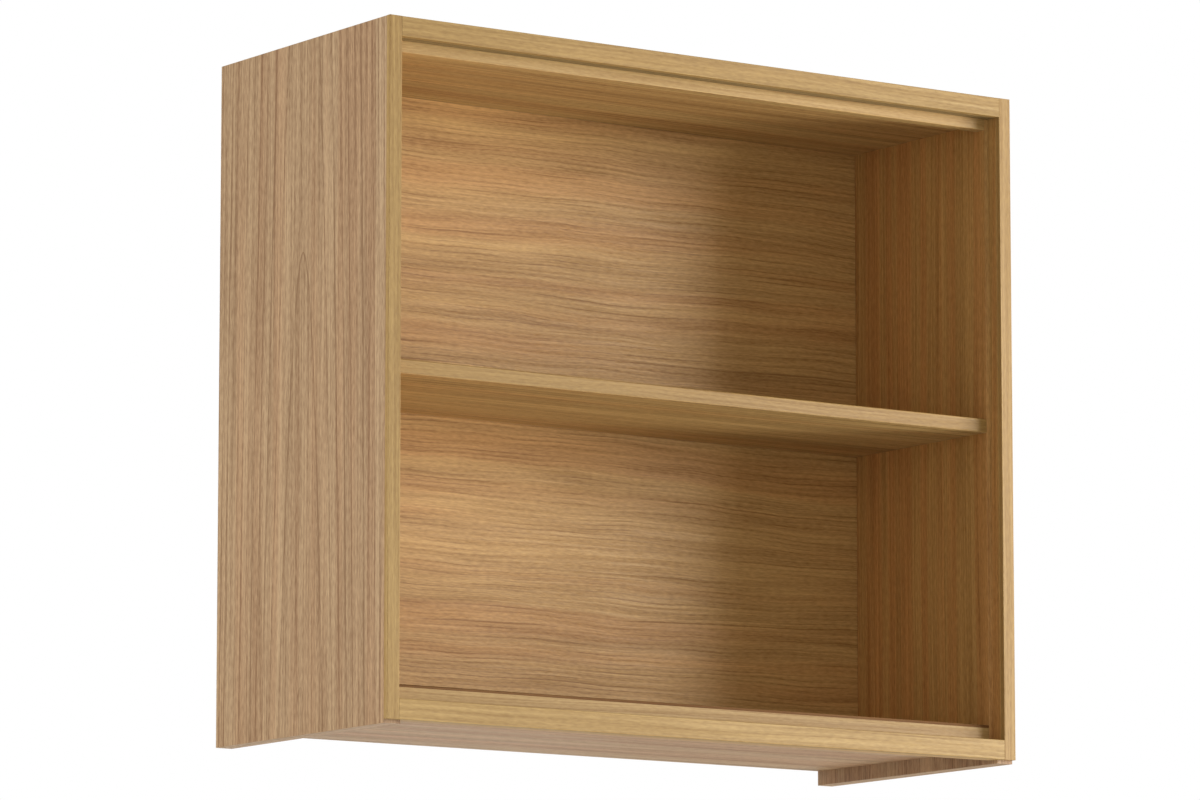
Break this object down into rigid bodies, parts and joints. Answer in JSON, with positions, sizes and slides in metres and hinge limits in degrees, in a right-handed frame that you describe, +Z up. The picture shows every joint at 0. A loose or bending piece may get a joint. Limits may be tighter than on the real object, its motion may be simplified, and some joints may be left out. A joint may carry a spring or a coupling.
{
  "type": "wall cabinet",
  "caption": "Open-fronted wall cabinet with a lipped front frame, stop battens, a fixed shelf, a hollow back and a bevelled rail that hangs it on the wall.",
  "frame": {"origin": "centre of the wall rail's back face, on the wall plane", "axes": "+Z up, +Y from the cabinet into the wall, so the open front faces -Y; +X to the right of someone facing the front"},
  "size_m": [0.8, 0.33, 0.724],
  "materials": {
    "outer_veneer": "satin",
    "inner_veneer": "satin",
    "lipping": "satin",
    "back_panel": "satin",
    "rail_wood": "matt",
    "dowel_wood": "matt",
    "zinc_alloy": "cast, matt",
    "steel": "plated"
  },
  "bodies": {
    "root": {"back_panel": "back_panel", "bottom_panel": "inner_veneer", "bottom_rail": "inner_veneer", "bottom_stop_batten": "lipping", "cam_bolt_bottom_left_front": "steel", "cam_bolt_bottom_left_rear": "steel", "cam_bolt_bottom_right_front": "steel", "cam_bolt_bottom_right_rear": "steel", "cam_bolt_shelf_left_front": "steel", "cam_bolt_shelf_left_rear": "steel", "cam_bolt_shelf_right_front": "steel", "cam_bolt_shelf_right_rear": "steel", "cam_bolt_top_left_front": "steel", "cam_bolt_top_left_rear": "steel", "cam_bolt_top_right_front": "steel", "cam_bolt_top_right_rear": "steel", "cam_bottom_left_front": "zinc_alloy", "cam_bottom_left_rear": "zinc_alloy", "cam_bottom_right_front": "zinc_alloy", "cam_bottom_right_rear": "zinc_alloy", "cam_shelf_left_front": "zinc_alloy", "cam_shelf_left_rear": "zinc_alloy", "cam_shelf_right_front": "zinc_alloy", "cam_shelf_right_rear": "zinc_alloy", "cam_top_left_front": "zinc_alloy", "cam_top_left_rear": "zinc_alloy", "cam_top_right_front": "zinc_alloy", "cam_top_right_rear": "zinc_alloy", "dowel_bottom_left": "dowel_wood", "dowel_bottom_right": "dowel_wood", "dowel_hanging_rail_lower_left": "dowel_wood", "dowel_hanging_rail_lower_right": "dowel_wood", "dowel_hanging_rail_upper_left": "dowel_wood", "dowel_hanging_rail_upper_right": "dowel_wood", "dowel_rear_rail_left": "dowel_wood", "dowel_rear_rail_right": "dowel_wood", "dowel_shelf_left": "dowel_wood", "dowel_shelf_right": "dowel_wood", "dowel_top_left": "dowel_wood", "dowel_top_right": "dowel_wood", "hanging_rail": "rail_wood", "lipping_bottom": "lipping", "lipping_left": "lipping", "lipping_right": "lipping", "lipping_top": "lipping", "lower_rear_rail": "rail_wood", "shelf": "inner_veneer", "shelf_lipping": "lipping", "side_panel_left": "outer_veneer", "side_panel_right": "outer_veneer", "top_panel": "inner_veneer", "top_rail": "inner_veneer", "top_stop_batten": "lipping", "wall_rail": "rail_wood"}
  },
  "joints": []
}
